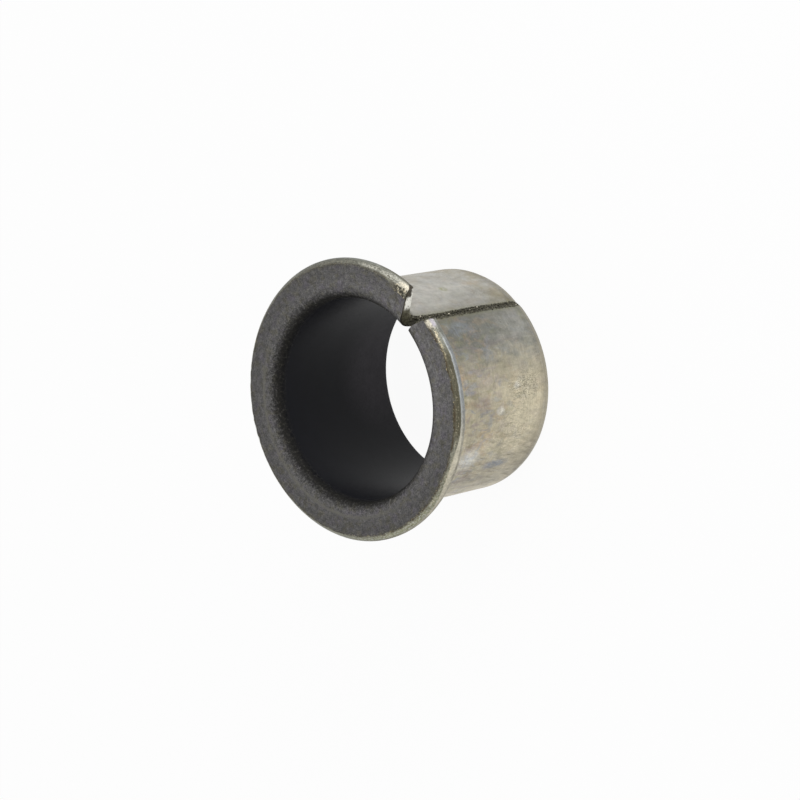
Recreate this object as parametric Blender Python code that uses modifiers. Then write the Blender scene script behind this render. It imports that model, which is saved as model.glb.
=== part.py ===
"""Flanged bushing: a lined steel strip rolled into a tube, with one end flared out into a flange.

The plate keeps one thickness from the tube through the bend to the flange. Its two ends meet in a
straight seam along the tube, and the flare pulls them apart into a V-shaped notch in the flange.
The bushing stands on the plain end of its tube, and the seam faces -Y.
"""

import math

import bmesh
import bpy

# Driving dimensions, in metres. The flange's reach is counted from the outside of the tube.
BORE_DIAMETER = 0.030
PLATE_THICKNESS = 0.002
FLANGE_REACH = 0.004
LENGTH = 0.026

# Bend between tube and flange, measured at the outer, concave side
CORNER_RADIUS = 0.0002

# Crowned rim of the flange: a long, nearly straight curve towards the lined face and a shorter,
# rounder one towards the back. Fullness is the curve's exponent: 1 is a straight bevel, 2 an ellipse.
RIM_FACE_WIDTH = 0.00092
RIM_FACE_DEPTH = 0.00100
RIM_FACE_FULLNESS = 1.25
RIM_BACK_WIDTH = 0.00064
RIM_BACK_DEPTH = 0.00080

# Plain end of the tube: a slim lead-in outside and a broken edge in the bore
LEAD_IN_LENGTH = 0.00106
LEAD_IN_ANGLE = math.radians(20)
BORE_EDGE = 0.00090

# Seam: the gap between the plate's ends and the broken edges on its outer side
SEAM_GAP = 0.00035
SEAM_EDGE = 0.00012
END_CORNER_RADIUS = 0.0006

# Notch: half widths where the bend starts, where the flange starts and at the rim
NOTCH_LENGTH = 0.0060
NOTCH_HALF_AT_TUBE = 0.0005
NOTCH_HALF_AT_BEND = 0.0012
NOTCH_HALF_AT_RIM = 0.0027
NOTCH_BACK_FLARE = 0.0005
NOTCH_CORNER_RADIUS = 0.0006

# Fineness of the turned shape and of its curves
TURN_STEPS = 120
RIM_STEPS = 5
CORNER_STEPS = 3
BEND_STEPS = 10
NOTCH_STEPS = 5

# How far a cutter passes the plate
OVERSHOOT = 0.001

# Sizes that follow from the driving dimensions
BORE_RADIUS = BORE_DIAMETER / 2
TUBE_RADIUS = BORE_RADIUS + PLATE_THICKNESS
FLANGE_RADIUS = TUBE_RADIUS + FLANGE_REACH
FLANGE_BACK = LENGTH - PLATE_THICKNESS
BEND_CENTRE = (TUBE_RADIUS + CORNER_RADIUS, FLANGE_BACK - CORNER_RADIUS)
BEND_RADIUS = CORNER_RADIUS + PLATE_THICKNESS


def clear_scene():
    for thing in list(bpy.data.objects):
        bpy.data.objects.remove(thing, do_unlink=True)


def new_collection(name):
    collection = bpy.data.collections.new(name)
    bpy.context.scene.collection.children.link(collection)
    return collection


def new_material(name, colour, roughness, metallic):
    material = bpy.data.materials.new(name)
    material.use_nodes = True
    shader = material.node_tree.nodes["Principled BSDF"]
    shader.inputs["Base Color"].default_value = (*colour, 1)
    shader.inputs["Roughness"].default_value = roughness
    shader.inputs["Metallic"].default_value = metallic
    return material


def arc(centre, width, height, start, end, steps, fullness=2):
    """Points of an elliptical arc in the (radius, height) plane, with its angles in degrees.

    fullness is the exponent of the curve: 2 gives the ellipse and 1 its straight chord.
    """
    points = []
    for i in range(steps + 1):
        turn = math.radians(start + (end - start) * i / steps)
        across, up = (math.copysign(abs(c) ** (2 / fullness), c) for c in (math.cos(turn), math.sin(turn)))
        points.append((centre[0] + width * across, centre[1] + height * up))
    return points


def plate_section():
    """Outline of the rolled plate: down the rim and the tube's outside, then up the bore to the face."""
    rim_face = (FLANGE_RADIUS - RIM_FACE_WIDTH, LENGTH - RIM_FACE_DEPTH)
    rim_back = (FLANGE_RADIUS - RIM_BACK_WIDTH, FLANGE_BACK + RIM_BACK_DEPTH)
    lead_in_depth = LEAD_IN_LENGTH * math.tan(LEAD_IN_ANGLE)
    return [
        *arc(rim_face, RIM_FACE_WIDTH, RIM_FACE_DEPTH, 90, 0, RIM_STEPS, RIM_FACE_FULLNESS),
        *arc(rim_back, RIM_BACK_WIDTH, RIM_BACK_DEPTH, 0, -90, RIM_STEPS),
        *arc(BEND_CENTRE, CORNER_RADIUS, CORNER_RADIUS, 90, 180, CORNER_STEPS),
        (TUBE_RADIUS, LEAD_IN_LENGTH),
        (TUBE_RADIUS - lead_in_depth, 0),
        (BORE_RADIUS + BORE_EDGE, 0),
        (BORE_RADIUS, BORE_EDGE),
        *arc(BEND_CENTRE, BEND_RADIUS, BEND_RADIUS, 180, 90, BEND_STEPS),
    ]


def turned_plate(collection):
    """The closed section turned a whole revolution with a Screw modifier."""
    points = plate_section()
    count = len(points)
    edges = [(i, (i + 1) % count) for i in range(count)]
    mesh = bpy.data.meshes.new("flanged_bushing")
    mesh.from_pydata([(r, 0, z) for r, z in points], edges, [])
    plate = bpy.data.objects.new("flanged_bushing", mesh)
    collection.objects.link(plate)
    screw = plate.modifiers.new("turn", "SCREW")
    screw.axis = "Z"
    screw.angle = math.tau
    screw.steps = TURN_STEPS
    screw.render_steps = TURN_STEPS
    screw.use_merge_vertices = True
    screw.merge_threshold = 0.000001
    return plate


def station(foot, inward, half_width, flare=0):
    """One cross-section of the notch cutter, from past the lining to just outside the plate's back.

    foot is the point on the plate's outer surface and inward its unit normal towards the lining.
    """
    outside = CORNER_RADIUS / 2
    depths = (PLATE_THICKNESS + OVERSHOOT, SEAM_EDGE, -outside)
    halves = (half_width, half_width + flare, half_width + flare + SEAM_EDGE + outside)
    places = [(foot[0] + inward[0] * d, foot[1] + inward[1] * d) for d in depths]
    left = [(-h, -r, z) for h, (r, z) in zip(halves, places)]
    right = [(h, -r, z) for h, (r, z) in zip(halves, places)]
    return left + right[::-1]


def rounding(distance, radius):
    """How far a corner of this radius falls back at a distance from the edge that it rounds."""
    return radius - math.sqrt(max(0, radius**2 - (radius - distance) ** 2))


def seam_stations():
    """Sections of the space between the plate's ends, from below the tube to beyond the rim."""
    half_gap = SEAM_GAP / 2
    inward = (-1, 0)
    stations = [station((TUBE_RADIUS, -OVERSHOOT), inward, half_gap + END_CORNER_RADIUS)]
    for i in range(NOTCH_STEPS):
        height = END_CORNER_RADIUS * i / (NOTCH_STEPS - 1)
        half = half_gap + rounding(height, END_CORNER_RADIUS)
        stations.append(station((TUBE_RADIUS, height), inward, half))
    root = LENGTH - NOTCH_LENGTH
    for i in range(NOTCH_STEPS):
        share = i / NOTCH_STEPS
        height = root + (BEND_CENTRE[1] - root) * share
        half = half_gap + (NOTCH_HALF_AT_TUBE - half_gap) * share**2
        stations.append(station((TUBE_RADIUS, height), inward, half))
    for i in range(NOTCH_STEPS + 1):
        share = i / NOTCH_STEPS
        turn = math.radians(180 - 90 * share)
        inward = (math.cos(turn), math.sin(turn))
        foot = (
            BEND_CENTRE[0] + CORNER_RADIUS * inward[0],
            BEND_CENTRE[1] + CORNER_RADIUS * inward[1],
        )
        half = NOTCH_HALF_AT_TUBE + (NOTCH_HALF_AT_BEND - NOTCH_HALF_AT_TUBE) * share
        stations.append(station(foot, inward, half))
    inward = (0, 1)
    flange_width = FLANGE_RADIUS - BEND_CENTRE[0]
    for i in range(NOTCH_STEPS + 1):
        distance = NOTCH_CORNER_RADIUS * (1 - i / NOTCH_STEPS)
        share = 1 - distance / flange_width
        half = NOTCH_HALF_AT_BEND + (NOTCH_HALF_AT_RIM - NOTCH_HALF_AT_BEND) * share
        half += rounding(distance, NOTCH_CORNER_RADIUS)
        foot = (FLANGE_RADIUS - distance, FLANGE_BACK)
        stations.append(station(foot, inward, half, NOTCH_BACK_FLARE * share))
    foot = (FLANGE_RADIUS + OVERSHOOT, FLANGE_BACK)
    half = NOTCH_HALF_AT_RIM + NOTCH_CORNER_RADIUS + OVERSHOOT
    stations.append(station(foot, inward, half, NOTCH_BACK_FLARE))
    return stations


def seam_cutter(collection, material):
    """The space between the plate's ends as one closed loft through its sections."""
    bm = bmesh.new()
    rings = [[bm.verts.new(p) for p in ring] for ring in seam_stations()]
    for ring, following in zip(rings, rings[1:]):
        for i in range(len(ring)):
            j = (i + 1) % len(ring)
            bm.faces.new((ring[i], ring[j], following[j], following[i]))
    bm.faces.new(rings[0])
    bm.faces.new(rings[-1])
    bmesh.ops.recalc_face_normals(bm, faces=bm.faces)
    mesh = bpy.data.meshes.new("seam_cutter")
    bm.to_mesh(mesh)
    bm.free()
    mesh.materials.append(material)
    cutter = bpy.data.objects.new("seam_cutter", mesh)
    cutter.display_type = "WIRE"
    cutter.hide_render = True
    collection.objects.link(cutter)
    return cutter


def applied(obj):
    """Replaces the object's mesh by its evaluated one and drops its modifiers."""
    graph = bpy.context.evaluated_depsgraph_get()
    mesh = bpy.data.meshes.new_from_object(obj.evaluated_get(graph))
    obj.modifiers.clear()
    obj.data = mesh


def face_is_lined(face):
    """True on the bore, the bend's convex side and the flange's face, up to the crowned rim."""
    radius = math.hypot(face.center.x, face.center.y)
    outward = (face.center.x * face.normal.x + face.center.y * face.normal.y) / radius
    in_bore = outward < -0.9
    on_bend = radius < BEND_CENTRE[0] and face.center.z > BEND_CENTRE[1]
    on_face = radius < FLANGE_RADIUS - RIM_FACE_WIDTH and face.normal.z > 0.9
    return in_bore or on_face or (on_bend and outward < 0)


def paint(obj, plating, lining):
    """Plating outside and on the edges, lining where the shaft and its shoulder run."""
    obj.data.materials.clear()
    obj.data.materials.append(plating)
    obj.data.materials.append(lining)
    for face in obj.data.polygons:
        face.material_index = int(face_is_lined(face))


def build():
    clear_scene()
    parts = new_collection("flanged_bushing")
    cutters = new_collection("cutters")
    plating = new_material("tin_plated_steel", (0.42, 0.41, 0.34), 0.42, 0.85)
    lining = new_material("dark_sliding_lining", (0.085, 0.085, 0.088), 0.62, 0.0)
    bare_edge = new_material("sheared_edge", (0.33, 0.27, 0.16), 0.5, 0.8)

    bushing = turned_plate(parts)
    bpy.context.view_layer.update()
    applied(bushing)
    paint(bushing, plating, lining)
    bushing.data.shade_smooth()
    bushing.data.set_sharp_from_angle(angle=math.radians(35))

    cut = bushing.modifiers.new("seam_and_notch", "BOOLEAN")
    cut.operation = "DIFFERENCE"
    cut.solver = "EXACT"
    cut.material_mode = "TRANSFER"
    cut.object = seam_cutter(cutters, bare_edge)


build()
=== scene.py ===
"""Dresses a rolled flanged bushing: its steel shell, sliding lining, seam crumbs, rim flakes and a studio.

Run as a script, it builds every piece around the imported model, which it loads first. A strip of
steel is rolled into a tube and flared into a flange, so each layer of the bushing is one flat grid
that Geometry Nodes roll up, and crumbs and flakes are rolled onto it by the same rule.
"""

import math
from types import SimpleNamespace

import bpy
from bpy.props import FloatProperty, FloatVectorProperty, IntProperty, PointerProperty
from mathutils import Matrix, Vector


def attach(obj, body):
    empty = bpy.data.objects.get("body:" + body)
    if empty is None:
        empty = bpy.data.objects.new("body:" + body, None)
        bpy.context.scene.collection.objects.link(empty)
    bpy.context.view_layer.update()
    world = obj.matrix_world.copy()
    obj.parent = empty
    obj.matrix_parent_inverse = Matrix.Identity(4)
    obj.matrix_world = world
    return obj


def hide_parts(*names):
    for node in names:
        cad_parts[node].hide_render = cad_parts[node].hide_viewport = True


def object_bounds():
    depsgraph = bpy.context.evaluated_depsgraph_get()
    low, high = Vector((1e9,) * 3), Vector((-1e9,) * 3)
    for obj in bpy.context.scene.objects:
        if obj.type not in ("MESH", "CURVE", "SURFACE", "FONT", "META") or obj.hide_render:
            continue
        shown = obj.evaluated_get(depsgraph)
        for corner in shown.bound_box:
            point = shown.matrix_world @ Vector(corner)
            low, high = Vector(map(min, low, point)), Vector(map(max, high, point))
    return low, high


bl_info = {
    "name": "Rolled Flanged Bushing",
    "version": (1, 0, 0),
    "blender": (4, 5, 0),
    "location": "3D View > Sidebar > Bushing",
    "description": "Builds the finish of a rolled and flanged plain bushing, and a studio for it",
    "category": "Add Mesh",
}

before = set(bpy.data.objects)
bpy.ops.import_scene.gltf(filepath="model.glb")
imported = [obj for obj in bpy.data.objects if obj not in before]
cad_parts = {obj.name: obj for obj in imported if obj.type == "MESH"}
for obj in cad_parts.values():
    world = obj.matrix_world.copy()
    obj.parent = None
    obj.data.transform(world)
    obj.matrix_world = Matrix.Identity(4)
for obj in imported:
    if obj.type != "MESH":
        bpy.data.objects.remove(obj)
CAD_LOW, CAD_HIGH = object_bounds()

NODE = "flanged_bushing"
BODY = "root"
MM = 0.001
TO_MM = 1 / MM

# The strip's own coordinates, in millimetres: around at the middle of the wall, along, through
STRIP = "strip"
STRIP_RADIUS = 16
BEND_START = 23.8
BEND_ALONG = 3
BEND_END = BEND_START + BEND_ALONG

# Middle of the rim's crown on those coordinates
CROWN_RUN = BEND_END + 2.9
CROWN_DEPTH = 0.95

# Shares of the grid's length at which the tube ends and the bend ends
TUBE_SHARE = 0.52
BEND_SHARE = 0.7

# Slope of the outer lead-in, and the stretch of the tube on which the seam bows, in metres
LEAD_IN_SLOPE = math.tan(math.radians(20))
BOW_START = 0.0015
BOW_LENGTH = 0.0165

# The lining, in metres: where it starts in the bore, how far it stops short of the rim, how deep
# its edge is torn, its thickness, and a hair that keeps faces apart
LINING_START = 0.00088
LINING_SHORTFALL = 0.00085
LINING_TEAR = 0.0011
LINING_SKIN = 0.00006
HAIR = 0.00002

# Faces that meet at more than this keep a sharp edge between them
SHARP_ANGLE = math.radians(50)


def size(name, default, description):
    """A length in metres that a user may change."""
    return FloatProperty(
        name=name, default=default, description=description, unit="LENGTH", subtype="DISTANCE", precision=5
    )


def colour(name, default, description):
    """A colour of a finish, in linear red, green and blue."""
    return FloatVectorProperty(
        name=name, default=default, description=description, size=3, min=0, max=1, subtype="COLOR"
    )


def share(name, default, description, most=1):
    """A plain number, such as a roughness or a lamp's level."""
    return FloatProperty(name=name, default=default, description=description, min=0, max=most)


def count(name, default, description):
    """A whole number of points or copies."""
    return IntProperty(name=name, default=default, description=description, min=2)


class BushingSizes(bpy.types.PropertyGroup):
    """Sizes of the rolled plate. Each one is also a named input of the Geometry Nodes trees"""

    bore_radius: size("Bore Radius", 0.015, "Inner radius of the tube")
    thickness: size("Plate Thickness", 0.002, "Thickness of the strip, lining included")
    flange_radius: size("Flange Radius", CAD_HIGH.x, "Outer radius of the flange")
    length: size("Length", CAD_HIGH.z, "From the plain end to the face of the flange")
    corner_radius: size("Corner Radius", 0.0002, "Radius between tube and flange, outside")
    rim_face_width: size("Rim Face Width", 0.00092, "Width of the rim's curve at the lined face")
    rim_face_depth: size("Rim Face Depth", 0.001, "Depth of the rim's curve at the lined face")
    rim_fullness: share("Rim Fullness", 1.25, "Form of that curve: 1 is a straight bevel, 2 an ellipse", 4)
    rim_back_width: size("Rim Back Width", 0.00064, "Width of the rim's curve at the back")
    rim_back_depth: size("Rim Back Depth", 0.0008, "Depth of the rim's curve at the back")
    lead_in_length: size("Lead In Length", 0.00106, "Length of the outer lead-in at the plain end")
    bore_edge: size("Bore Edge", 0.0009, "Broken edge of the bore at the plain end")
    seam_gap: size("Seam Gap", 0.00035, "Gap between the plate's two ends")
    seam_edge: size("Seam Edge", 0.0002, "Broken outer edge of the seam")
    end_corner: size("End Corner", 0.0006, "Corner of the strip at the plain end")
    notch_length: size("Notch Length", 0.006, "Distance from the face at which the seam opens")
    notch_tube: size("Notch at Tube", 0.0005, "Half width of the notch where the bend starts")
    notch_bend: size("Notch at Bend", 0.0012, "Half width of the notch where the flange starts")
    notch_rim: size("Notch at Rim", 0.0027, "Half width of the notch at the rim")
    notch_flare: size("Notch Flare", 0.0005, "How far the clean end slants back behind the flange")
    seam_wander: size("Seam Wander", 0.00012, "How far the seam bows to one side along the tube")
    blunt_corner: size("Blunt Corner", 0.00055, "Corner of the flange at the clean end of the plate")
    keen_corner: size("Keen Corner", 0.00022, "Corner of the flange at the other end of the plate")
    drooped_rim: size("Drooped Rim", 0.00014, "How far the rim falls in for some way before that end")
    drooped_tip: size("Drooped Tip", 0.00026, "How much further the rim falls in right at that end")
    raised_end: size("Raised End", 0.00025, "How far one end of the plate stands out at the bend")
    tucked_end: size("Tucked End", 0.00018, "How far the other end is tucked in at the plain end")
    ragged_end: size("Ragged End", 0.00012, "Roughness of the sheared ends of the plate")
    relief: size("Relief", 0.000035, "Depth of the shallow waves left by rolling and flaring")


class BushingFinish(bpy.types.PropertyGroup):
    """Colours of the finishes"""

    tin: colour("Tin", (0.42, 0.415, 0.385), "Clean plating")
    beige: colour("Beige", (0.51, 0.462, 0.34), "Plating gone warm")
    khaki: colour("Khaki", (0.3, 0.27, 0.19), "Aged plating")
    # Slate is partly a duller finish and partly painted shade of the tube's side beside the seam
    slate: colour("Slate", (0.158, 0.162, 0.144), "Dull plating beside the seam")
    steel_blue: colour("Steel Blue", (0.27, 0.3, 0.35), "Heat tint")
    lilac: colour("Lilac", (0.33, 0.275, 0.28), "Heat tint")
    tan: colour("Tan", (0.43, 0.32, 0.2), "Heat tint")
    moss: colour("Moss", (0.27, 0.27, 0.16), "Oily stain")
    frost: colour("Frost", (0.58, 0.59, 0.58), "Rubbed bare plating")
    # Besides real oil and dirt, this colour also lays painted shade on the rim's dark band and in the
    # hollows of the sheared ends
    grime_and_shade: colour("Grime", (0.03, 0.027, 0.016), "Oil and dirt in seams, pits and corners")
    olive: colour("Olive", (0.115, 0.108, 0.072), "Sheared steel gone dull")
    rim_grey: colour("Rim Grey", (0.2, 0.2, 0.165), "Plating on the crown of the rim")
    rim_back: colour("Rim Back", (0.33, 0.345, 0.345), "Plating on the back edge of the rim")
    bronze: colour("Bronze", (0.5, 0.42, 0.25), "Bronze layer under the lining")
    cream: colour("Cream", (0.63, 0.585, 0.475), "Bronze and steel rubbed bright")
    silver: colour("Silver", (0.62, 0.61, 0.54), "Bare steel on the rim")
    # Bright Steel is bare steel; on the sheared end it is also a painted reflection, brighter than steel
    # is
    bright: colour("Bright Steel", (0.9, 0.89, 0.82), "Bare steel of the sheared end")
    pearl: colour("Pearl", (0.41, 0.385, 0.43), "Rubbed plating with a violet cast")
    rust: colour("Rust", (0.07, 0.05, 0.028), "Brown hollows in the sheared end")
    lining: colour("Lining", (0.104, 0.101, 0.1), "Sliding lining on the flange")
    lining_warm: colour("Warm Lining", (0.1, 0.095, 0.078), "Lining with a trace of oil")
    lining_cool: colour("Cool Lining", (0.11, 0.102, 0.115), "Lining with a violet cast")
    # Bore Lining is painted shade: the same lining as on the face, made far darker because little light
    # reaches inside the bore
    bore: colour("Bore Lining", (0.003, 0.0034, 0.0062), "Sliding lining in the bore")
    bend_dark: colour("Bend Dark", (0.006, 0.0056, 0.0042), "Dark grains on the stretched bend")
    bend_light: colour("Bend Light", (0.15, 0.145, 0.125), "Light grains on the stretched bend")


class StudioSettings(bpy.types.PropertyGroup):
    """Light, floor and camera"""

    floor: colour("Floor", (0.88, 0.88, 0.88), "Colour of the floor")
    floor_white: share("Floor White", 0.94, "Share of plain white that the camera sees on the floor")
    sky: share("Sky", 0.72, "Level of the light from all round", 4)
    key: share("Key", 0.9, "Power of the large soft lamp, in watts", 50)
    fill: share("Fill", 0.4, "Power of the lamp on the other side, in watts", 50)
    lens: FloatProperty(name="Lens", default=127.24, description="Focal length in millimetres")


class Fineness(bpy.types.PropertyGroup):
    """Fineness of the grids, and how many crumbs and flakes there are"""

    around: count("Around", 520, "Points round the bushing")
    along: count("Along", 76, "Points from the plain end to the rim")
    through: count("Through", 9, "Points through the plate")
    crumbs: count("Crumbs", 7200, "Crumbs in the seam")
    flakes: count("Flakes", 2600, "Places tried for flakes at the torn edge of the lining")


# Node maths


def maths(operation, reflected=False):
    """A method that adds a Math node with this operation on a wire and, where given, a second value."""

    def method(wire, *others):
        values = (*others, wire) if reflected else (wire, *others)
        return wire.tree.node("ShaderNodeMath", dict(enumerate(values)), operation=operation)

    return method


class Wire:
    """An output socket. Sums on it add Math nodes, so that shader and shape maths read as Python."""

    __add__, __radd__ = maths("ADD"), maths("ADD", reflected=True)
    __sub__, __rsub__ = maths("SUBTRACT"), maths("SUBTRACT", reflected=True)
    __mul__, __rmul__ = maths("MULTIPLY"), maths("MULTIPLY", reflected=True)
    __truediv__, __rtruediv__ = maths("DIVIDE"), maths("DIVIDE", reflected=True)
    __pow__, __abs__ = maths("POWER"), maths("ABSOLUTE")
    __gt__, __lt__ = maths("GREATER_THAN"), maths("LESS_THAN")
    least, most = maths("MINIMUM"), maths("MAXIMUM")
    sine, cosine, arcsine = maths("SINE"), maths("COSINE"), maths("ARCSINE")
    root, sign, turn_from = maths("SQRT"), maths("SIGN"), maths("ARCTAN2")

    def __init__(self, tree, socket):
        self.tree = tree
        self.socket = socket

    def within(self, low=0, high=1):
        """The value held between two bounds."""
        return self.most(low).least(high)

    def ramp(self, low, high):
        """A smooth step from 0 at low to 1 at high, where low may be the larger one."""
        inputs = {"Value": self, "From Min": low, "From Max": high}
        return self.tree.node("ShaderNodeMapRange", inputs, interpolation_type="SMOOTHSTEP")

    def near(self, centre, reach):
        """1 at the centre and 0 further off than its reach."""
        return abs(self - centre).ramp(reach, 0)

    def swing(self, amount):
        """A factor around 1 from a noise around a half."""
        return 1 + (self - 0.5) * amount

    def parts(self):
        """The three coordinates of a vector."""
        return [self.tree.node("ShaderNodeSeparateXYZ", {"Vector": self}, output=name) for name in "XYZ"]

    def vector_maths(self, operation, socket, value):
        """A Vector Math node on this vector and a second value in the given socket."""
        return self.tree.node("ShaderNodeVectorMath", {0: self, socket: value}, operation=operation)

    def stretched(self, x, y, z=1):
        """A vector with its three coordinates multiplied."""
        return self.vector_maths("MULTIPLY", 1, (x, y, z))

    def moved(self, other):
        """The sum of two vectors."""
        return self.vector_maths("ADD", 1, other)

    def scaled(self, factor):
        """A vector times a number."""
        return self.vector_maths("SCALE", "Scale", factor)

    def noise(self, scale, detail=2, roughness=0.5, distortion=0):
        """Soft noise around a half at this place."""
        form = {"Scale": scale, "Detail": detail, "Roughness": roughness, "Distortion": distortion}
        return self.tree.node("ShaderNodeTexNoise", {"Vector": self, **form})

    def streaks(self, x, y, *form):
        """Noise that is finer one way than the other: how fine along x and y, then the noise's form."""
        return self.stretched(x, y).noise(1, *form)

    def cells(self, scale):
        """The colour that each of the scattered cells of space has for itself."""
        inputs = {"Vector": self, "Scale": scale}
        return self.tree.node("ShaderNodeTexVoronoi", inputs, output="Color")


class Tree:
    """A node tree with one method that adds any node."""

    def __init__(self, nodes):
        self.nodes = nodes

    def node(self, kind, inputs=None, output=0, **settings):
        """Adds a node: its settings first, then the values or links of its sockets."""
        made = self.nodes.nodes.new(kind)
        for name, value in settings.items():
            setattr(made, name, value)
        for name, value in (inputs or {}).items():
            if isinstance(value, Wire):
                self.nodes.links.new(value.socket, made.inputs[name])
            else:
                made.inputs[name].default_value = value
        return Wire(self, made.outputs[output])

    def vector(self, x, y, z):
        """A vector from three numbers."""
        return self.node("ShaderNodeCombineXYZ", {"X": x, "Y": y, "Z": z})

    def mix(self, under, over, mask, kind="MIX"):
        """One colour over another where the mask is 1. The node holds the mask between 0 and 1."""
        sockets = {0: mask, 6: rgba(under), 7: rgba(over)}
        return self.node("ShaderNodeMix", sockets, output=2, data_type="RGBA", blend_type=kind)

    def coated(self, under, *coats):
        """A colour with coats laid over it in turn, each one a colour and the mask where it shows."""
        for over, mask in coats:
            under = self.mix(under, over, mask)
        return under

    def tinted(self, under, factor):
        """A colour made lighter or darker by a number around 1."""
        return self.mix(under, self.vector(factor, factor, factor), 1, "MULTIPLY")


def rgba(value):
    """A colour as a socket takes it, or the link that already carries one."""
    return value if isinstance(value, Wire) else (*value, 1)


# Rolling the strip


def rounding(distance, radius):
    """How far a corner of this radius falls back at a distance from the edge that it rounds."""
    inside = (radius - distance).most(0)
    return radius - (radius * radius - inside * inside).most(0).root()


def rim_loss(radius, rim, width, depth, fullness):
    """How much the crowned rim takes off one side of the plate: fullness 1 cuts it straight."""
    crossed = ((radius - (rim - width)) / width).within()
    return depth * (1 - (1 - crossed ** fullness).most(0) ** (1 / fullness))


def layer_reach(tree, s, around):
    """How far out the layer goes: a torn line, worn back from the plate's ends at the notch."""
    torn = tree.vector(around * 9, 0, 3.7).noise(4.5, 4, 0.62) - 0.5
    worn = (1 - abs(around)).ramp(0.08, 0.043) * (0.5 + 0.2 * around.sign())
    return s.reach + s.ragged_reach * (torn - worn)


def rolled(tree, s, around, along, through):
    """Rolls a place on the flat strip up into the bushing. s holds the sizes.

    around runs from -1 to 1 between the plate's ends, and along and through from 0 to 1. Gives
    the position and the strip's coordinates in millimetres.
    """
    tube = (along / TUBE_SHARE).within() ** 1.25
    bend = ((along - TUBE_SHARE) / (BEND_SHARE - TUBE_SHARE)).within()
    flange = (((along - BEND_SHARE) / (1 - BEND_SHARE)).within() * (math.pi / 2)).sine()

    bend_centre = s.bore_radius + s.thickness + s.corner_radius
    bend_height = s.length - s.thickness - s.corner_radius
    height = s.start_height + (bend_height - s.start_height) * tube
    radius = bend_centre + (layer_reach(tree, s, around) - bend_centre) * flange

    lead_in = (s.lead_in_length - height).most(0) * LEAD_IN_SLOPE
    rim = s.flange_radius
    low = rim_loss(radius, rim, s.rim_back_width, s.rim_back_depth, 2) + lead_in
    face_loss = rim_loss(radius, rim, s.rim_face_width, s.rim_face_depth, s.rim_fullness)
    high = s.thickness - face_loss - (s.bore_edge - height).most(0) - s.sink
    low = low.most(high - s.layer_thickness)
    depth = low + (high - low) * (0.5 - 0.5 * (through * math.pi).cosine())

    turn = math.pi - bend * (math.pi / 2)
    plain_radius = radius + (s.corner_radius + depth) * turn.cosine()
    level = height + (s.corner_radius + depth) * turn.sine()

    end_mask = abs(around) ** 14
    raised = s.raised_end * end_mask * (around < 0) * level.ramp(0.019, 0.0245)
    raised = raised * radius.ramp(s.flange_radius, bend_centre)
    tucked = s.tucked_end * end_mask * (around > 0) * level.ramp(0.012, 0)
    outward = (radius - bend_centre) / (s.flange_radius - bend_centre)
    from_end = 1 - abs(around)
    drooped = s.drooped_rim * from_end.ramp(0.26, 0.15) + s.drooped_tip * from_end.ramp(0.105, 0.042)
    drooped = drooped * (around < 0) * outward.ramp(0.3, 1)
    arm = plain_radius + raised - tucked - drooped

    half_gap = s.seam_gap / 2
    root = s.length - s.notch_length
    opening = ((height - root) / (bend_height - root)).within()
    half = half_gap + (s.notch_tube - half_gap) * opening * opening
    half = half + (s.notch_bend - s.notch_tube) * bend
    half = half + (s.notch_rim - s.notch_bend) * outward
    clean_end = around > 0
    corner = s.blunt_corner * clean_end + s.keen_corner * (1 - clean_end)
    half = half + rounding((s.flange_radius - radius).most(0), corner)
    half = half + rounding(level, s.end_corner)
    half = half + (s.seam_edge - depth).most(0)
    half = half + s.notch_flare * clean_end * outward * (1 - depth / (1.5 * s.thickness))
    chipped = tree.vector(around * 50, level * TO_MM, depth * TO_MM).noise(1.7, 5, 0.7) - 0.45
    half = half + s.ragged_end * chipped * 4 * (depth / s.thickness).ramp(1, 0.2)

    bow = ((level - BOW_START) / BOW_LENGTH).within() * math.pi
    wander = s.seam_wander * bow.sine() * abs(around) ** 5
    angle = around * (math.pi - (half / arm).arcsine()) - wander / arm
    position = tree.vector(arm * angle.sine(), arm * angle.cosine(), level)
    run = (height + radius - bend_centre) * TO_MM + bend * BEND_ALONG
    strip = tree.vector(angle * STRIP_RADIUS, run, depth * TO_MM)
    return position, strip


# Inputs that a layer or a scatter has besides the sizes
LAYER_INPUTS = ("start_height", "reach", "ragged_reach", "layer_thickness", "sink")
SCATTER_INPUTS = (
    "copies", "seed", "least_size", "most_size", "flatness",
    "along_from", "along_to", "through_from", "through_to",
)


def titled(key):
    """A socket's name, from its key."""
    return key.replace("_", " ").title()


def size_names():
    """The sizes' names in the panel, by their keys."""
    return {key: BushingSizes.bl_rna.properties[key].name for key in BushingSizes.__annotations__}


def new_shape_tree(name, keys):
    """A Geometry Nodes tree with its output, the sizes and these keys as inputs, and its material."""
    nodes = bpy.data.node_groups.new(name, "GeometryNodeTree")
    nodes.interface.new_socket("Geometry", in_out="OUTPUT", socket_type="NodeSocketGeometry")
    names = {**size_names(), **{key: titled(key) for key in keys}}
    for label in names.values():
        nodes.interface.new_socket(label, in_out="INPUT", socket_type="NodeSocketFloat")
    nodes.interface.new_socket("Material", in_out="INPUT", socket_type="NodeSocketMaterial")
    tree = Tree(nodes)
    inputs = nodes.nodes.new("NodeGroupInput")
    wires = {key: Wire(tree, inputs.outputs[label]) for key, label in names.items()}
    return tree, SimpleNamespace(**wires), Wire(tree, inputs.outputs["Material"])


def close_tree(tree, geometry, material):
    """Ends a tree in real meshes with their material."""
    geometry = tree.node("GeometryNodeRealizeInstances", {"Geometry": geometry})
    geometry = tree.node("GeometryNodeSetMaterial", {"Geometry": geometry, "Material": material})
    output = tree.nodes.nodes.new("NodeGroupOutput")
    tree.nodes.links.new(geometry.socket, output.inputs["Geometry"])


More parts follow.
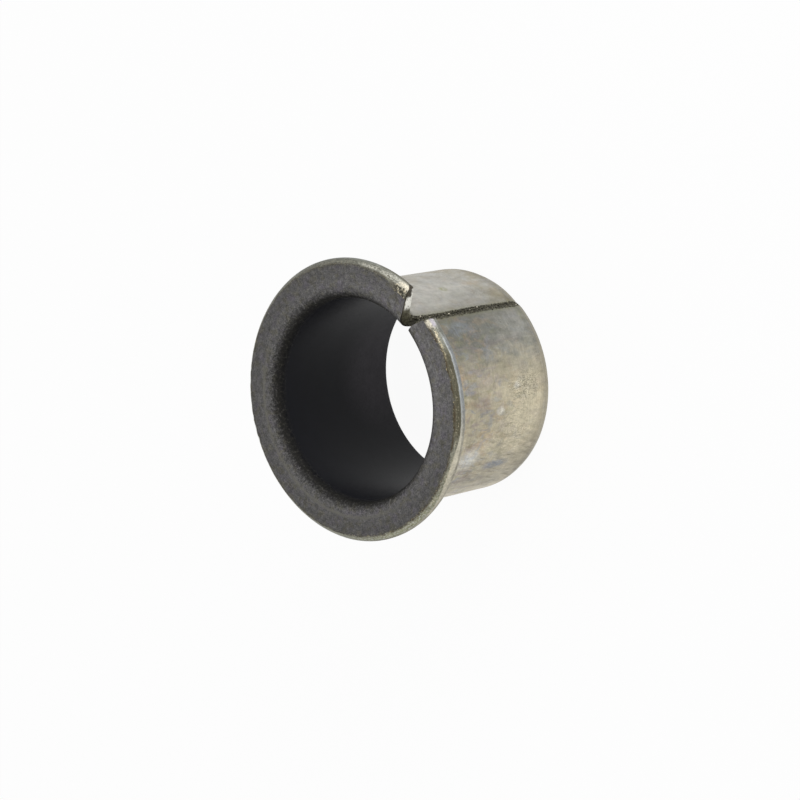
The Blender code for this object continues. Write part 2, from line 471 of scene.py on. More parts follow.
def layer_tree(name, fineness, through):
    """Rolls a closed grid up into one layer of the plate, with its strip coordinates and cut faces."""
    tree, s, material = new_shape_tree(name, LAYER_INPUTS)
    counts = {"Vertices X": fineness.around, "Vertices Y": fineness.along, "Vertices Z": through}
    grid = tree.node("GeometryNodeMeshCube", {"Size": (2, 2, 2), **counts})
    x, y, z = tree.node("GeometryNodeInputPosition").parts()
    crowded = x.sign() * (1 - (1 - abs(x)).most(0) ** 1.25)
    position, strip = rolled(tree, s, crowded, y * 0.5 + 0.5, z * 0.5 + 0.5)

    def stored(geometry, label, kind, domain, value):
        inputs = {"Geometry": geometry, "Name": label, "Value": value}
        return tree.node("GeometryNodeStoreNamedAttribute", inputs, data_type=kind, domain=domain)

    grid = stored(grid, STRIP, "FLOAT_VECTOR", "POINT", strip)
    grid = stored(grid, "cut", "FLOAT", "FACE", abs(x) > 0.9999)
    grid = tree.node("GeometryNodeSetPosition", {"Geometry": grid, "Position": position})
    where = tree.node("GeometryNodeInputNamedAttribute", {"Name": STRIP}, data_type="FLOAT_VECTOR")
    waves = where.stretched(0.42, 0.42, 0).noise(1, 3, 0.55)
    grains = where.stretched(1.6, 1.6, 0).noise(1, 2, 0.6)
    fall = (waves + grains * 0.35) * s.relief * -1
    normal = tree.node("GeometryNodeInputNormal")
    grid = tree.node("GeometryNodeSetPosition", {"Geometry": grid, "Offset": normal.scaled(fall)})
    grid = tree.node("GeometryNodeSetShadeSmooth", {"Geometry": grid})
    close_tree(tree, grid, material)
    return tree.nodes


def scatter_tree(name, spread):
    """Scatters small crumbs on the rolled plate.

    spread takes two random numbers from 0 to 1 and gives a crumb's place around the plate, how
    likely it is there, and how much deeper it lies.
    """
    tree, s, material = new_shape_tree(name, (*LAYER_INPUTS, *SCATTER_INPUTS))

    def drawn(offset, low=0, high=1):
        inputs = {2: low, 3: high, "Seed": s.seed + offset}
        return tree.node("FunctionNodeRandomValue", inputs, output=1, data_type="FLOAT")

    around, likely, deeper = spread(drawn(0), drawn(1))
    along = drawn(2, s.along_from, s.along_to)
    through = drawn(3, s.through_from, s.through_to) + deeper
    position, _ = rolled(tree, s, around, along, through)
    points = tree.node("GeometryNodePoints", {"Count": s.copies, "Position": position})
    crumb = tree.node("GeometryNodeMeshIcoSphere", {"Radius": 1, "Subdivisions": 1})
    width = s.least_size + (s.most_size - s.least_size) * drawn(4) ** 3
    scale = tree.vector(width * drawn(5, 0.7, 1.5), width, width * s.flatness)
    turn = tree.vector(drawn(6, 0, math.tau), drawn(7, 0, math.tau), drawn(8, 0, math.tau))
    inputs = {"Points": points, "Selection": drawn(9) < likely, "Instance": crumb}
    crumbs = tree.node("GeometryNodeInstanceOnPoints", {**inputs, "Rotation": turn, "Scale": scale})
    crumbs = tree.node("GeometryNodeRealizeInstances", {"Geometry": crumbs})
    x, y, z = tree.node("GeometryNodeInputPosition").parts()
    held = tree.vector(x, y, z.within(HAIR, s.length))
    crumbs = tree.node("GeometryNodeSetPosition", {"Geometry": crumbs, "Position": held})
    close_tree(tree, crumbs, material)
    return tree.nodes


def along_seam(first, second):
    """Packed deep in the gap, and strewn beside it, close on one plate end and wider on the other."""
    side = (first - 0.42).sign()
    spread = 0.0032 - 0.002 * side
    packed = second < 0.42
    in_gap = packed * (0.0042 - second * 0.01)
    around = side * (1 + in_gap - spread * (second - 0.42).most(0) * 1.4 * second)
    return around, 0.45 + 0.55 * packed, packed * 0.12


def along_rim(first, second):
    """All round, in patches, and densest beside the notch and where the flange was rubbed."""
    around = first * 2 - 1
    from_seam = around.sign() * (180 - abs(around) * 180)
    dense = from_seam.near(-22, 34) + from_seam.near(12, 10) + 0.5 * from_seam.near(-98, 50)
    patchy = around.tree.vector(around * 30, 0, 0).noise(1, 3, 0.6).ramp(0.42, 0.6)
    return around, (0.1 + 0.6 * dense) * patchy, 0


def placed(name, data):
    """A new object in the scene."""
    obj = bpy.data.objects.new(name, data)
    bpy.context.scene.collection.objects.link(obj)
    return obj


def meshed(name, nodes, material, values):
    """Runs a tree once and keeps the result as a plain mesh with no modifier."""
    obj = placed(name, bpy.data.meshes.new(name))
    modifier = obj.modifiers.new("rolled", "NODES")
    modifier.node_group = nodes
    for item in nodes.interface.items_tree:
        if item.in_out == "INPUT":
            modifier[item.identifier] = material if item.name == "Material" else float(values[item.name])
    graph = bpy.context.evaluated_depsgraph_get()
    mesh = bpy.data.meshes.new_from_object(obj.evaluated_get(graph))
    obj.modifiers.clear()
    obj.data = mesh
    mesh.name = name
    return obj


def values_of(**extra):
    """The sizes and the values of one layer or scatter, by their socket names."""
    sizes = bpy.context.scene.bushing_sizes
    values = {name: getattr(sizes, key) for key, name in size_names().items()}
    return {**values, **{titled(key): value for key, value in extra.items()}}


def whole_plate():
    """Layer values of the steel: the plate at its full thickness, a hair under the lining."""
    sizes = bpy.context.scene.bushing_sizes
    return {
        "start_height": 0, "reach": sizes.flange_radius, "ragged_reach": 0,
        "layer_thickness": sizes.thickness, "sink": HAIR,
    }


def lined_side():
    """Layer values of the lining: a thin skin on the bore, the bend and the flange's face."""
    reach = bpy.context.scene.bushing_sizes.flange_radius - LINING_SHORTFALL
    return {
        "start_height": LINING_START, "reach": reach, "ragged_reach": LINING_TEAR,
        "layer_thickness": LINING_SKIN, "sink": 0,
    }


# Finishes


def new_finish(name):
    """A material, its tree and its shader."""
    material = bpy.data.materials.new(name)
    material.use_nodes = True
    shader = material.node_tree.nodes["Principled BSDF"]
    return material, Tree(material.node_tree), shader


def wear(tree, shader, **links):
    """Links finished wires to the shader's sockets."""
    for key, wire in links.items():
        tree.nodes.links.new(wire.socket, shader.inputs[titled(key)])


def in_millimetres(tree):
    """The object's own coordinates."""
    return tree.node("ShaderNodeTexCoord", output="Object").scaled(TO_MM)


class Place:
    """Where a point of the bushing is, as wires in millimetres and in degrees from the seam."""

    def __init__(self, tree):
        strip = tree.node("ShaderNodeAttribute", output="Vector", attribute_name=STRIP)
        self.here = in_millimetres(tree)
        x, y, self.height = self.here.parts()
        self.flat = strip.stretched(1, 1, 0)
        self.around, self.run, self.depth = strip.parts()
        self.radius = (x * x + y * y).root()
        turn = self.around * (math.degrees(1) / STRIP_RADIUS)
        self.seam = turn.sign() * 180 - turn
        # How far round the crown of the rim: 0 at its face side, 1.5 at its widest, 3 at its back
        self.rim_turn = (self.run - CROWN_RUN).turn_from(self.depth - CROWN_DEPTH)

    def spot(self, seam, run, across, up):
        """A soft oval on the tube at an angle from the seam and a height, in millimetres."""
        around = (math.copysign(180, seam) - seam) / math.degrees(1) * STRIP_RADIUS
        dx = (self.around - around) / across
        dy = (self.run - run) / up
        return (dx * dx + dy * dy).root().ramp(1, 0.25)


def bump(tree, height, distance):
    """A normal from a height in shares of a distance, which is in millimetres."""
    return tree.node("ShaderNodeBump", {"Height": height, "Distance": distance * MM}, output="Normal")


def plate_colours(tree, f, at):
    """Plating on the tube: clean on one side of the seam, dull on the other, aged and tinted beyond."""
    flat, seam, run = at.flat, at.seam, at.run
    broad = flat.noise(0.13, 3, 0.55)
    blotch = flat.streaks(0.5, 0.24, 4, 0.62, 0.5)
    cloud = flat.moved((3, 57, 0)).streaks(0.42, 0.3, 4, 0.6, 0.6)
    wander = (blotch - 0.5) * 48
    # Darker plating beside the seam on one side: partly a duller finish, partly painted shade of that side
    # of the tube
    dull = (seam + wander * 0.8).ramp(-47, -15) * (seam < 0)
    clean = (seam - wander).ramp(105, 62) * (seam > 0)

    rear = clean * (run.ramp(9, 0.3) * 0.75 + seam.ramp(18, 52) * 0.65 + 0.14)
    shade = tree.mix(f.slate, f.tin, run.ramp(14, 0) * 0.5 + (cloud - 0.5) * 0.7)
    pale = (1 - dull) * (seam < 0)
    plate = tree.coated(
        f.khaki,
        (f.beige, broad * 0.9 + blotch * 1.7 - 0.3),
        (f.tin, abs(seam).ramp(98, 125) * cloud.ramp(0.3, 0.6) * 0.6),
        (f.tin, clean * 0.95),
        (f.khaki, rear * (cloud * 4.2 - 1.4)),
        (shade, dull * 0.95),
        (f.beige, pale * run.ramp(19, 8) * cloud.ramp(0.36, 0.52) * 0.8),
    )

    # Heat tints in soft patches, longer along the tube than around it: colour, shift, level, amount
    tints = (
        (f.lilac, (31, 7), 0.5, 0.8), (f.tan, (5, 43), 0.51, 0.8),
        (f.steel_blue, (77, 19), 0.52, 0.8), (f.moss, (13, 91), 0.53, 0.7),
    )
    warm = run.ramp(4, 19) * (1 - clean) * (0.52 - 0.26 * dull) + 0.13
    for tint, (x, y), level, amount in tints:
        patch = flat.moved((x, y, 0)).streaks(0.62, 0.34, 4, 0.6, 0.7)
        plate = tree.mix(plate, tint, patch.ramp(level, level + 0.12) * warm * amount)

    # Local marks, rubbed spots, a blue streak and oily stains: colour, place, extent and amount
    marks = (
        (f.bright, -42.8, 7.8, 0.75, 0.95, 0.6), (f.bright, -54, 11.6, 0.8, 1.4, 0.5),
        (f.frost, -79, 16.5, 2.4, 3.6, 0.75), (f.steel_blue, -86, 9, 1.2, 4, 0.9),
        (f.tan, -30, 20, 1, 1.6, 0.5), (f.tan, 20, 5.5, 0.9, 3.2, 0.35),
        (f.lilac, -94, 15, 1.2, 4, 0.5), (f.moss, -6, 18, 1.2, 3, 0.4),
        (f.steel_blue, -8.5, 16.5, 1.5, 4, 0.5), (f.steel_blue, -26, 12.6, 1.4, 2.2, 0.4),
        (f.lilac, -49, 15.5, 1.8, 2.8, 0.55), (f.khaki, 7, 3.5, 2.2, 3, 0.45),
        (f.moss, 18.2, 12.4, 0.85, 1.1, 0.9), (f.moss, -17, 18.2, 0.6, 1.6, 0.5),
        (f.moss, -38, 21, 1.6, 1.2, 0.5), (f.tan, -34, 19, 0.7, 3, 0.4),
        (f.tan, -48, 19.5, 0.8, 3.2, 0.5), (f.lilac, -38, 14.5, 1.5, 3, 0.4),
        (f.khaki, -96, 12, 1.3, 6, 0.5), (f.khaki, -104, 6, 1.2, 5, 0.5),
        (f.khaki, 12, 1.5, 3.5, 1.6, 0.5), (f.moss, -7, 1.5, 1.8, 1.5, 0.5),
    )
    ragged = 0.25 + 0.75 * flat.noise(1.6, 4, 0.7).ramp(0.34, 0.58)
    coats = ((tint, at.spot(*oval) * ragged * amount) for tint, *oval, amount in marks)
    return tree.coated(plate, *coats)


def plate_marks(tree, at):
    """Shade, depth and pits of the drawing marks, scratches and worm-like wear of the tube."""
    flat, seam = at.flat, at.seam
    lean = tree.vector(at.run * 0.3, 0, 0)
    soft = flat.streaks(1.15, 0.6, 4, 0.62)
    fine = flat.noise(3.1, 4, 0.68)
    streak = flat.streaks(3, 0.24, 4, 0.62)
    slant = flat.moved(lean).streaks(1.9, 0.26, 4, 0.62)
    around = flat.streaks(0.42, 2.6, 3, 0.62)
    lower = (seam < 0) * seam.ramp(-52, -84) * (0.25 + 0.75 * seam.ramp(-140, -105))
    calm = 1 - 0.62 * (seam > 0) * seam.ramp(80, 45)
    turned = flat.moved((8, 61, 0)).noise(0.22, 2).ramp(0.44, 0.56)
    shade = soft.swing(0.75) * fine.swing(0.55 * calm) * streak.swing((0.5 - 0.4 * turned) * calm)
    shade = shade * around.swing((0.12 + 0.45 * turned) * calm) * slant.swing(0.12 + 1.15 * lower)

    # Broad zones that are a little darker or lighter: place, extent and change
    zones = (
        (-57, 17, 7, 7.5, -0.17), (-57, 5.5, 7.5, 7, 0.16), (-94, 9, 6, 22, -0.26),
        (-78, 2, 6, 4, -0.18), (-9, 17, 4, 5, -0.08), (-17, 9, 4, 5, 0.08),
        (8, 9, 3, 7.5, -0.12), (19.5, 14, 2.4, 14, 0.1), (-31, 10.5, 3.2, 4, -0.13),
        (-71, 14, 3.6, 4, 0.1), (-34, 3, 3, 2.5, -0.06),
    )
    for *oval, change in zones:
        shade = shade * (1 + at.spot(*oval) * change)
    shade = shade * (1 - 0.22 * at.run.ramp(2.8, 1.3))

    worms = abs(flat.streaks(2.6, 0.9, 2, 0.5, 1.2) - 0.5).ramp(0.05, 0.014)
    rough_zone = at.spot(-43.5, 5.8, 3.3, 5.4) * 0.8 + 0.5 * at.spot(-66, 8, 7, 8)
    rough_zone = (rough_zone + 0.35 * flat.noise(0.22, 2).ramp(0.55, 0.68)).within()
    pits = flat.noise(3.1, 2, 0.7).ramp(0.62, 0.7) * flat.noise(0.45, 2).ramp(0.48, 0.62)
    scratch = flat.moved(lean).streaks(4.2, 0.2, 3, 0.6).ramp(0.61, 0.7)
    sunk = (worms * rough_zone + pits * 0.8 + scratch * 0.7 * lower).within()
    relief = soft * 0.5 + streak * 0.3 + fine * 0.4 + slant * 0.3 - sunk * 0.9
    return shade, relief, sunk


def rim_colours(tree, f, at):
    """The rim: bronze glints beside the lining, dull speckled steel, plain plating at its back."""
    seam, turn = at.seam, at.rim_turn
    crown = tree.vector(at.around, turn * 0.85, 5)
    speck = crown.noise(3.6, 4, 0.74)
    coarse = crown.noise(1.3, 3, 0.62)
    lines = tree.vector(at.around * 0.5, turn * 6, 0).noise(1, 3, 0.6)
    on_right = seam.near(-62, 84).ramp(0, 0.35)
    on_left = seam.near(142, 38).ramp(0, 0.5)
    grey = lines.swing(1.9) * speck.swing(1.5) * coarse.swing(0.8) * (1 - 0.38 * seam.near(75, 65))
    # On the other side the rim is painted paler and lighter: a painted reflection on the crown, which is
    # seen edge on there
    rim = tree.tinted(tree.mix(f.rim_grey, f.frost, on_left * 0.75), grey * (1 + 0.46 * on_left))
    pale = seam.near(22, 20).ramp(0, 0.6) * turn.ramp(0.1, 0.4)
    pale = pale * (turn - 0.45 * seam.ramp(24, 17)).ramp(1.15, 0.7)
    pressed = seam.near(-108, 56) * turn.ramp(1.7, 1.1) * (0.35 + 0.65 * turn.ramp(0.1, 0.5))
    # On one side the crown is painted dark olive and grime: sheared steel, darkened further as painted
    # shade where it turns away from the light
    dark = seam.near(-40, 26).ramp(0, 0.4)

    # A painted highlight where the crown turns to the back, strongest on one side, and plain plating
    # beyond it
    start = 1.18 - 0.68 * seam.near(-72, 20) + (coarse - 0.5) * 0.4
    plain = tree.mix(f.beige, f.rim_back, seam.ramp(-62, -42) * 0.7 + 0.3)
    back = tree.tinted(plain, speck.swing(1.1) * coarse.swing(1.2) * (1 - 0.3 * turn.ramp(1.4, 1.75)))
    lit = (turn - start).ramp(0, 0.14) * (1 - 0.8 * seam.near(-7, 13).ramp(0, 0.4))
    rim = tree.coated(
        rim,
        (f.silver, pale * (speck * 3.2 + lines - 1.75)),
        (f.moss, pressed * (coarse * 1.6)),
        (f.frost, pressed * (speck * 5.2 - 2.5)),
        (f.olive, dark * (1.5 - speck)),
        (f.grime_and_shade, dark * turn.near(0.8, 0.6) * 0.45),
        (back, lit * (0.2 + 0.8 * on_right)),
    )
    rim = tree.tinted(rim, 1 - 0.5 * seam.near(-125, 42) * turn.ramp(1.05, 1.35))

    # Beside the lining: a dark torn line with sparse glints, and a dull golden streak below the notch
    inner = turn.ramp(0.4, 0.12) * (1 - 0.8 * on_left)
    middle = (0.36 + (seam + 20) * 0.045).within(0.15, 0.65)
    streak = seam.near(-19, 9).ramp(0, 0.5) * abs(turn - middle).ramp(0.36, 0.12)
    glow = streak * 0.8 + 0.16 * seam.near(-70, 50) + 0.1
    rub = turn.near(0.6, 0.6) * (lines * 2.2 + speck * 2.6 + coarse * 1.4 - 3.06).within() * 2.4

    # Where the lining is worn off at the two tips of the flange
    gold = seam.near(10.5, 5).ramp(0, 0.5) * turn.ramp(0.8, 0.35)
    chips = crown.noise(2.6, 3, 0.62)
    tip = seam.near(10, 5.2).ramp(0, 0.6) * turn.ramp(0.05, 0.6)
    other_tip = seam.near(-9.3, 3.2).ramp(0, 0.6) * at.run.near(BEND_END + 2.95, 0.75).ramp(0, 0.5)
    pearl = seam.near(-8, 5).ramp(0, 0.6) * turn.ramp(0.55, 0.85) * turn.ramp(1.6, 1.2)
    hollow = speck.ramp(0.44, 0.37) * turn.ramp(1.2, 0.8) * (0.45 + 0.4 * seam.near(10, 20))
    rim = tree.coated(
        rim,
        (f.olive, seam.near(16, 14).ramp(0, 0.6) * turn.ramp(1.25, 1.55) * 0.7),
        (f.rust, inner * (0.4 + 0.45 * on_right) * coarse.ramp(0.66, 0.42)),
        (f.bronze, rub * glow + streak * (speck * 4.6 - 2.15)),
        (f.cream, rub * glow * speck.ramp(0.5, 0.62)),
        (f.grime_and_shade, gold * chips.ramp(0.53, 0.45) * 0.85),
        (tree.mix(f.bronze, f.cream, coarse), gold * chips.ramp(0.52, 0.58) * 0.9),
        (f.cream, tip * (turn.near(0.9, 0.75) * 0.9 + coarse * 1.6 - 0.75)),
        (f.cream, other_tip * (speck * 2.6 + coarse * 1.6 - 1.6)),
        (f.pearl, pearl * (coarse * 1.2 + 0.1)),
        (f.rust, hollow),
    )
    return rim, speck


def end_colours(tree, f, at):
    """The sheared ends: dull steel, a bronze line under the lining, brown hollows."""
    ends = at.here.noise(2.2, 4, 0.7)
    rough = ends - 0.5
    # The ends are painted lighter along the tube: painted light against the shade inside the seam's gap
    sheared = tree.tinted(f.olive, ends.swing(3) * (1 + 0.7 * at.height.ramp(23, 20)))
    # Bare steel near the flange: a real bright strip, painted brighter still as a painted reflection
    lit = at.radius.ramp(17.5, 18.2) * (at.height > 23) * (at.depth + rough * 1.2).ramp(1.8, 1.45)
    bronze_line = at.depth.ramp(1.66, 1.85) * ends.ramp(0.5, 0.62) * (at.height < 23.5)
    # The hollow high on each sheared end, its outer corner and a line beside the lining are painted dark
    # brown: partly brown steel, partly painted shade in the hollow
    recess = (at.radius + rough * 1.2).ramp(19.3, 19.7) * (at.depth + rough * 1.6).ramp(0.2, 0.7)
    recess = recess.most(at.radius.ramp(20.4, 20.7)).most(at.depth.ramp(1.66, 1.8) * (at.height > 23.5))
    brown = tree.mix(f.grime_and_shade, f.rust, at.here.noise(4.5, 3, 0.7).ramp(0.46, 0.62))
    sheared = tree.coated(
        sheared,
        (f.bright, lit * ends.ramp(0.24, 0.42)),
        (f.rust, ends.ramp(0.44, 0.36) * 0.6),
        (f.bronze, bronze_line * 0.5),
        (brown, recess * 0.97),
    )
    return sheared, ends, recess


def steel_finish(f):
    """Plated steel outside, rubbed and sheared metal on the rim, dull sheared ends at the seam."""
    material, tree, shader = new_finish("plated_steel")
    at = Place(tree)
    cut = tree.node("ShaderNodeAttribute", output="Fac", attribute_name="cut")
    shade, relief, sunk = plate_marks(tree, at)
    plate = tree.tinted(plate_colours(tree, f, at), shade)

    # Grime along the seam with a wider olive band beside it, partly grime and partly painted shade, a worn
    # band at the lead-in and a dark line behind the flange
    crumbly = at.flat.noise(2.4, 4, 0.7)
    from_cut = math.pi * STRIP_RADIUS - abs(at.around)
    stain = from_cut.ramp(1.15, 0.3) * (crumbly * 3 - 0.9).within()
    soiled = from_cut.ramp(0.7, 0.28) * (crumbly * 3.4 - 0.95).within()
    corner = at.height.ramp(23.1, 23.75) * at.radius.ramp(17.6, 17.2)
    on_rim = at.radius.ramp(18.9, 19.3) * at.height.ramp(24.2, 24.4)
    rim, speck = rim_colours(tree, f, at)
    sheared, ends, recess = end_colours(tree, f, at)
    base = tree.coated(
        plate,
        (f.olive, sunk * 0.6),
        (f.olive, from_cut.ramp(2.5, 0.3) * (0.16 + 0.42 * crumbly)),
        (f.moss, stain * 0.6),
        (f.grime_and_shade, soiled * 0.9),
        (f.khaki, at.run.ramp(1.15, 1.02) * 0.5),
        (f.frost, at.run.near(1.35, 0.3) * 0.14 * crumbly.ramp(0.4, 0.6)),
        (f.grime_and_shade, corner * 0.55 * (crumbly + 0.25)),
        (rim, on_rim),
        (sheared, cut),
    )

    on_left = on_rim * at.seam.near(142, 38).ramp(0, 0.5)
    rough = 0.42 + 0.5 * (crumbly - 0.5) + 0.2 * (soiled + sunk) + 0.12 * cut
    rough = rough + 0.1 * on_rim - 0.14 * on_left
    metal = 0.92 - 0.55 * soiled - 0.35 * sunk - 0.35 * cut * (1 - recess) - 0.22 * (on_rim - on_left)
    relief = relief * (1 - on_rim) + on_rim * speck * 1.6 + cut * ends - soiled * crumbly
    wear(tree, shader, base_color=base, roughness=rough.within(), metallic=metal.within())
    wear(tree, shader, normal=bump(tree, relief, 0.04))
    return material


def lining_finish(f):
    """The sliding lining: dry and grained on the flange, speckled on the bend, smooth in the bore."""
    material, tree, shader = new_finish("sliding_lining")
    shader.inputs["Specular IOR Level"].default_value = 0.13
    at = Place(tree)
    flat, run = at.flat, at.run
    grain = flat.noise(4.6, 3, 0.72)
    cloud = flat.noise(0.55, 3, 0.6)
    speck = flat.noise(2.3, 4, 0.75)
    rings = flat.streaks(0.8, 4.5, 3, 0.6)
    rays = flat.streaks(3.4, 0.7, 3, 0.6)
    in_bore = (run + (speck - 0.5) * 1.8).ramp(BEND_START + 1.1, BEND_START - 0.5)
    on_bend = (run + (speck - 0.5) * 2.2).ramp(BEND_END - 0.25, BEND_END - 1.9)

    # Painted light: the face is paler around the notch and on one side, where light falls on it, with a
    # violet or an oily cast in patches
    mottle = flat.moved((21, 4, 0)).noise(1.45, 2, 0.5)
    pale = (0.94 + 0.24 * at.seam.near(0, 95) + 0.16 * at.seam.near(-36, 48)) * mottle.swing(1.1)
    oily = flat.moved((9, 5, 0)).noise(0.8, 3, 0.6).ramp(0.48, 0.64)
    face = tree.coated(f.lining, (f.lining_cool, cloud.ramp(0.5, 0.66) * 0.8), (f.lining_warm, oily * 0.8))
    shade = pale * grain.swing(1.7) * speck.swing(1.2) * rings.swing(0.6) * rays.swing(0.7)
    # Lighter where the face meets the bend: a painted highlight on the start of the bend's curve
    face = tree.tinted(face, shade * (1 + 0.16 * run.ramp(BEND_END + 1.6, BEND_END)))
    scratch = flat.streaks(1.1, 8, 2, 0.5).ramp(0.66, 0.73)
    bend = tree.mix(f.bend_dark, f.bend_light, speck.ramp(0.49, 0.88) * 0.78)
    bend = tree.tinted(bend, 1 - 0.35 * at.seam.near(-135, 55))

    # A painted highlight runs along the edge where the face turns into the bend, on one side of the face,
    # and a painted reflection lightens the bore near its plain end
    side = abs(at.seam).ramp(92, 135)
    bend_edge_highlight = (run + (speck - 0.5) * 0.8).near(BEND_END + 0.1, 0.42) * side
    bore_reflection = at.spot(128, 3, 13, 9.5) * 0.62
    # The bore is painted far darker than the face's lining, as painted shade where little light reaches
    # inside
    bore = tree.tinted(tree.mix(f.bore, f.lining_cool, bore_reflection), cloud.swing(0.8))

    # Torn outer edge: dark and oily, with grains of metal showing through
    outer = at.radius + (speck - 0.5) * 1.6
    torn = outer.ramp(19.75, 20.25) * at.height.ramp(24.5, 25)
    base = tree.coated(
        face,
        (f.bend_light, scratch * 0.6),
        (bend, on_bend * 0.92),
        (f.bend_light, bend_edge_highlight * (0.45 + 1.6 * (speck - 0.35))),
        (bore, in_bore),
        (f.olive, torn * 0.55),
        (f.grime_and_shade, torn * speck.ramp(0.5, 0.4) * 0.7),
        (f.cream, torn * grain.ramp(0.63, 0.7) * 0.4),
    )

    rough = 0.62 + 0.3 * (grain - 0.5) - 0.2 * in_bore
    relief = (grain * 0.7 + speck * (0.5 + 1.1 * on_bend)) * (1 - in_bore)
    wear(tree, shader, base_color=base, roughness=rough.within(), normal=bump(tree, relief, 0.04))
    return material


def crumb_finish(name, f, light, dark, bright_share, metallic):
    """Loose metal: each crumb is mostly dark or light, and a few are rubbed bright."""
    material, tree, shader = new_finish(name)
    here = in_millimetres(tree)
    drawn, other, _ = here.cells(5).parts()
    base = tree.coated(dark, (light, drawn.ramp(0.2, 0.95)), (f.cream, other > (1 - bright_share)))
    grain = here.noise(9, 3, 0.6)
    base = tree.tinted(base, grain.swing(1.2))
    shader.inputs["Metallic"].default_value = metallic
    rough = (0.42 + 0.3 * grain).within()
    wear(tree, shader, base_color=base, roughness=rough, normal=bump(tree, grain, 0.03))
    return material


# Pieces


def declare(piece):
    """Says that a finished piece moves with the bushing and stands for it."""
    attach(piece, BODY)
    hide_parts(NODE)
    return {"FINISHED"}


def layer(name, nodes, finish, sizes):
    """A rolled layer of the plate, with sharp edges where its faces meet at an angle."""
    piece = meshed(name, nodes, finish, values_of(**sizes))
    piece.data.set_sharp_from_angle(angle=SHARP_ANGLE)
    return piece


class BUSHING_OT_steel_shell(bpy.types.Operator):
    """Rolls the steel strip up into the tube, its bend and its flange"""

    bl_idname = "bushing.steel_shell"
    bl_label = "Steel Shell"

    def execute(self, context):
        scene = context.scene
        nodes = layer_tree("roll_strip", scene.bushing_fineness, scene.bushing_fineness.through)
        shell = layer("steel_shell", nodes, steel_finish(scene.bushing_finish), whole_plate())
        return declare(shell)


class BUSHING_OT_sliding_lining(bpy.types.Operator):
    """Rolls the thin lining up on the bore, the bend and the flange's face, with a torn outer edge"""

    bl_idname = "bushing.sliding_lining"
    bl_label = "Sliding Lining"

    def execute(self, context):
        scene = context.scene
        nodes = layer_tree("roll_lining", scene.bushing_fineness, 2)
        lining = layer("sliding_lining", nodes, lining_finish(scene.bushing_finish), lined_side())
        return declare(lining)


class BUSHING_OT_seam_crumbs(bpy.types.Operator):
    """Fills the seam with crumbs of sheared metal and caked oil"""

    bl_idname = "bushing.seam_crumbs"
    bl_label = "Seam Crumbs"

    def execute(self, context):
        scene = context.scene
        f = scene.bushing_finish
        values = values_of(
            **whole_plate(), copies=scene.bushing_fineness.crumbs, seed=11,
            least_size=0.00006, most_size=0.00015, flatness=0.7,
            along_from=0.03, along_to=0.57, through_from=0, through_to=0.28,
        )
        finish = crumb_finish("seam_crumbs", f, f.olive, f.grime_and_shade, bright_share=0.01, metallic=0.15)
        crumbs = meshed("seam_crumbs", scatter_tree("scatter_seam", along_seam), finish, values)
        return declare(crumbs)


class BUSHING_OT_edge_flakes(bpy.types.Operator):
    """Lays bright flakes of bronze and steel along the torn edge of the lining"""

    bl_idname = "bushing.edge_flakes"
    bl_label = "Edge Flakes"

    def execute(self, context):
        scene = context.scene
        f = scene.bushing_finish
        values = values_of(
            **lined_side(), copies=scene.bushing_fineness.flakes, seed=29,
            least_size=0.00003, most_size=0.0001, flatness=0.4,
            along_from=0.955, along_to=1, through_from=0.2, through_to=0.9,
        )
        finish = crumb_finish("edge_flakes", f, f.bronze, f.olive, bright_share=0.12, metallic=0.8)
        flakes = meshed("edge_flakes", scatter_tree("scatter_rim", along_rim), finish, values)
        return declare(flakes)


class BUSHING_OT_studio(bpy.types.Operator):
    """Sets up the floor, the soft lamps, the sky and the camera"""

    bl_idname = "bushing.studio"
    bl_label = "Studio"

    def execute(self, context):
        studio = context.scene.bushing_studio
        floor = placed("floor", bpy.data.meshes.new("floor"))
        reach = 3
        corners = [(-reach, -reach, 0), (reach, -reach, 0), (reach, reach, 0), (-reach, reach, 0)]
        floor.data.from_pydata(corners, [], [(0, 1, 2, 3)])
        floor.data.materials.append(floor_finish(studio))
        light_sky(context.scene, studio)
        camera = place_camera(context.scene, studio)
        view = camera.matrix_world.to_3x3()
        target = Vector((0, 0, CAD_HIGH.z / 2))
        key_side = view @ Vector((0.15, 0.8, 0.55)).normalized()
        fill_side = view @ Vector((0.75, -0.45, 0.5)).normalized()
        add_lamp("key_lamp", target + key_side * 0.4, target, 0.26, studio.key)
        add_lamp("fill_lamp", target + fill_side * 0.4, target, 0.3, studio.fill)
        context.scene.view_settings.view_transform = "Standard"
        return {"FINISHED"}


def seen_directly(tree):
    """1 for rays from the camera, from a mirror or through glass."""
    rays = ("Is Camera Ray", "Is Glossy Ray", "Is Transmission Ray")
    found = [tree.node("ShaderNodeLightPath", output=name) for name in rays]
    return found[0].most(found[1]).most(found[2])


def floor_finish(studio):
    """A pale floor that the camera sees almost white, and that keeps the bushing's shadow."""
    material, tree, shader = new_finish("floor")
    shader.inputs["Base Color"].default_value = rgba(studio.floor)
    shader.inputs["Roughness"].default_value = 0.9
    white = tree.node("ShaderNodeEmission", {"Color": (1, 1, 1, 1), "Strength": 1})
    mask = seen_directly(tree) * studio.floor_white
    inputs = {0: mask, 1: Wire(tree, shader.outputs["BSDF"]), 2: white}
    mixed = tree.node("ShaderNodeMixShader", inputs)
    output = material.node_tree.nodes["Material Output"]
    tree.nodes.links.new(mixed.socket, output.inputs["Surface"])
    return material


def light_sky(scene, studio):
    """A soft grey light from all round that the camera and the metal see as white."""
    scene.world = bpy.data.worlds.new("sky")
    scene.world.use_nodes = True
    tree = Tree(scene.world.node_tree)
    background = scene.world.node_tree.nodes["Background"]
    seen = seen_directly(tree)
    strength = seen + (1 - seen) * studio.sky
    tree.nodes.links.new(strength.socket, background.inputs["Strength"])
    background.inputs["Color"].default_value = (1, 1, 1, 1)


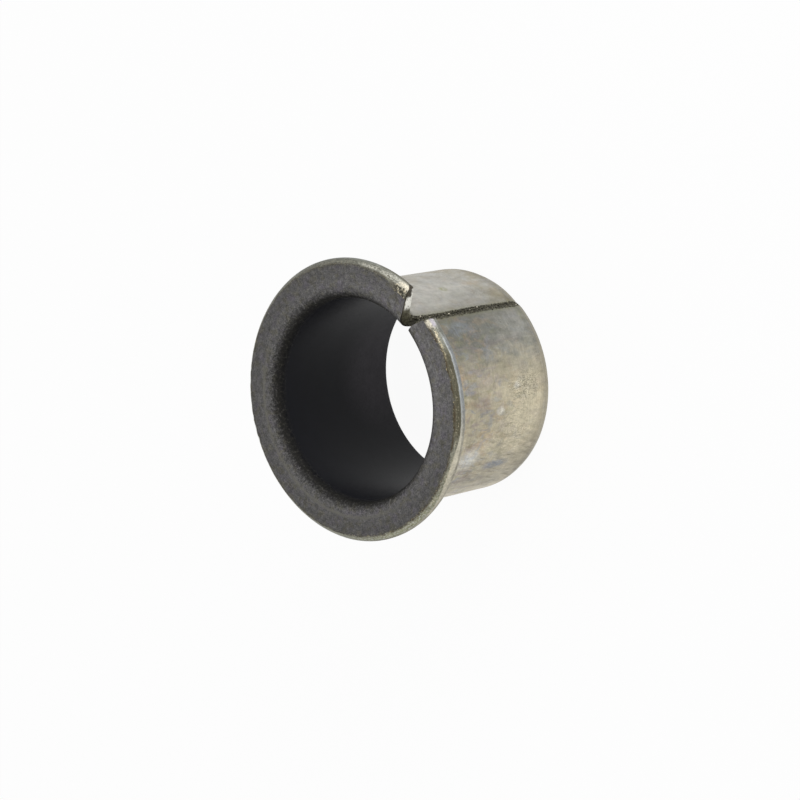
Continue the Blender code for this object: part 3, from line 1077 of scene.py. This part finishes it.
def add_lamp(name, place, target, width, power):
    """A square soft lamp that faces the target."""
    lamp = placed(name, bpy.data.lights.new(name, "AREA"))
    lamp.data.size = width
    lamp.data.energy = power
    lamp.location = place
    lamp.rotation_euler = (target - place).to_track_quat("-Z", "Y").to_euler()


def place_camera(scene, studio):
    """Stands the camera where it sees the bushing as in the photograph.

    The bushing lies on its side there, so the camera is placed by how its axis points in the
    view, by the turn of its seam and by where the centre of its face is.
    """
    yaw, pitch, seam_turn = 0.7301, 0.1332, math.radians(137.4)
    face_centre = Vector((-0.0074912, -0.0001548, -0.4137531))
    back = Vector((math.sin(yaw) * math.cos(pitch), math.sin(pitch), -math.cos(yaw) * math.cos(pitch)))
    across = Vector((0, 1, 0)).cross(back).normalized()
    upward = back.cross(across)
    x_turn = seam_turn - math.pi / 2
    y_turn = x_turn - math.pi / 2
    x_axis = across * math.cos(x_turn) + upward * math.sin(x_turn)
    y_axis = across * math.cos(y_turn) + upward * math.sin(y_turn)
    turn = Matrix((x_axis, y_axis, -back))
    origin = face_centre + back * CAD_HIGH.z
    camera = placed("camera", bpy.data.cameras.new("camera"))
    camera.matrix_world = Matrix.Translation(-(turn @ origin)) @ turn.to_4x4()
    camera.data.sensor_width = 36
    camera.data.lens = studio.lens
    camera.data.clip_start = 0.01
    scene.camera = camera
    bpy.context.view_layer.update()
    return camera


PIECES = (
    BUSHING_OT_steel_shell,
    BUSHING_OT_sliding_lining,
    BUSHING_OT_seam_crumbs,
    BUSHING_OT_edge_flakes,
    BUSHING_OT_studio,
)


class BUSHING_PT_panel(bpy.types.Panel):
    """Lists the pieces and their settings"""

    bl_idname = "BUSHING_PT_panel"
    bl_label = "Flanged Bushing"
    bl_space_type = "VIEW_3D"
    bl_region_type = "UI"
    bl_category = "Bushing"

    def draw(self, context):
        for piece in PIECES:
            self.layout.operator(piece.bl_idname)
        for name in SETTINGS:
            settings = getattr(context.scene, name)
            box = self.layout.box()
            for key in type(settings).__annotations__:
                box.prop(settings, key)


SETTINGS = {
    "bushing_sizes": BushingSizes,
    "bushing_finish": BushingFinish,
    "bushing_studio": StudioSettings,
    "bushing_fineness": Fineness,
}


def register():
    for cls in (*SETTINGS.values(), *PIECES, BUSHING_PT_panel):
        bpy.utils.register_class(cls)
    for name, cls in SETTINGS.items():
        setattr(bpy.types.Scene, name, PointerProperty(type=cls))


def unregister():
    for name in SETTINGS:
        delattr(bpy.types.Scene, name)
    for cls in reversed((*SETTINGS.values(), *PIECES, BUSHING_PT_panel)):
        bpy.utils.unregister_class(cls)


def main():
    register()
    bpy.ops.bushing.steel_shell()
    bpy.ops.bushing.sliding_lining()
    bpy.ops.bushing.seam_crumbs()
    bpy.ops.bushing.edge_flakes()
    bpy.ops.bushing.studio()


if __name__ == "__main__":
    main()
